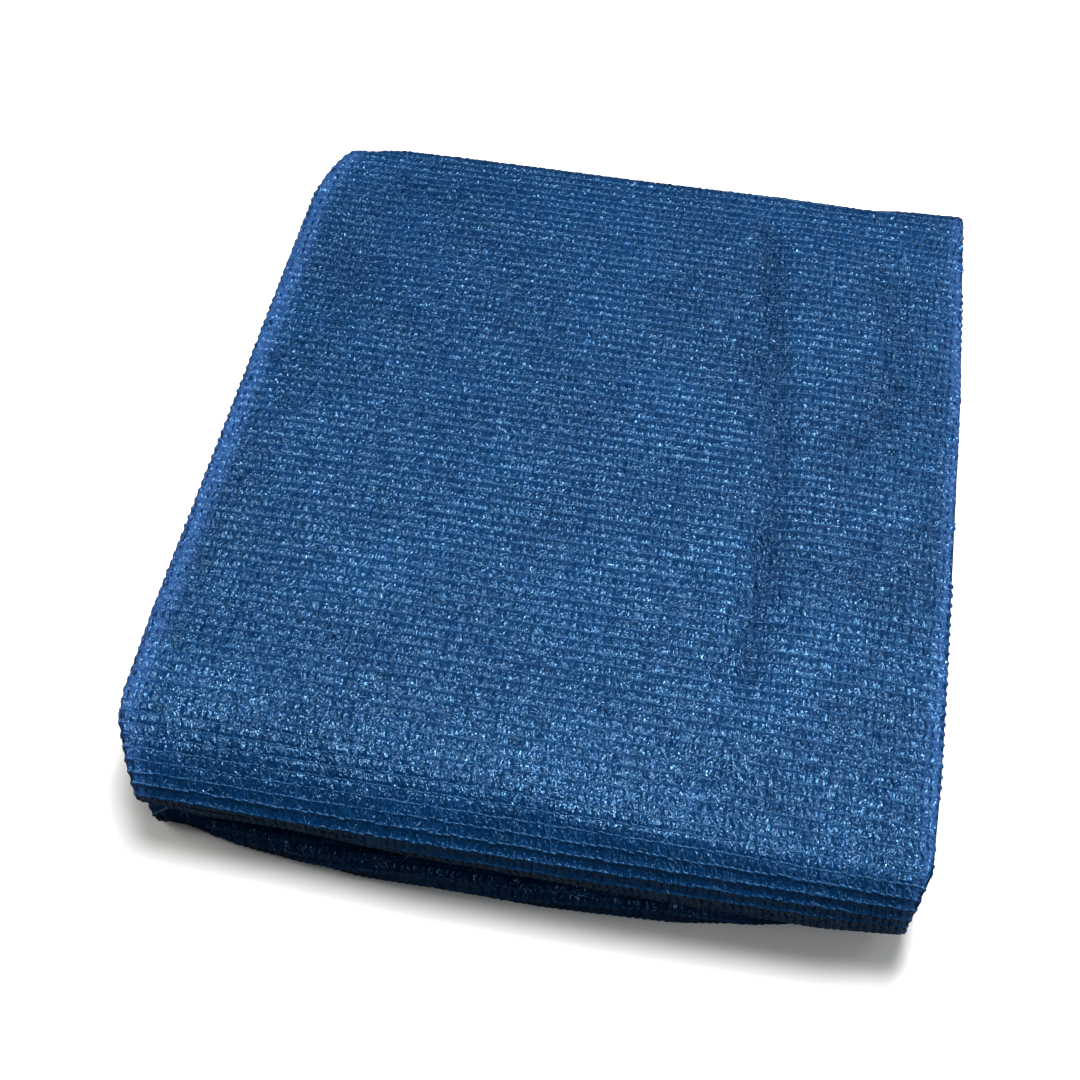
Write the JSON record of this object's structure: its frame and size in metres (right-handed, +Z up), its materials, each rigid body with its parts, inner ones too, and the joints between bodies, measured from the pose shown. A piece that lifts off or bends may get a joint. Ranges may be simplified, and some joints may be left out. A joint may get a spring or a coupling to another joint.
{
  "type": "folded shade cloth",
  "caption": "Knitted shade cloth folded both ways into a flat packet, with a rounded front fold over a thinner lower bundle.",
  "frame": {"origin": "middle of the packet's footprint, on the surface it lies on", "axes": "+X to the right along the ribs of the knit, +Y away from the rounded front fold, +Z up"},
  "size_m": [0.2798, 0.3282, 0.0492],
  "materials": {
    "folded_cloth": "blue knitted plastic net, satin monofilament chains with small glossy tapes between them"
  },
  "bodies": {
    "root": {"folded_cloth": "folded_cloth"}
  },
  "joints": []
}
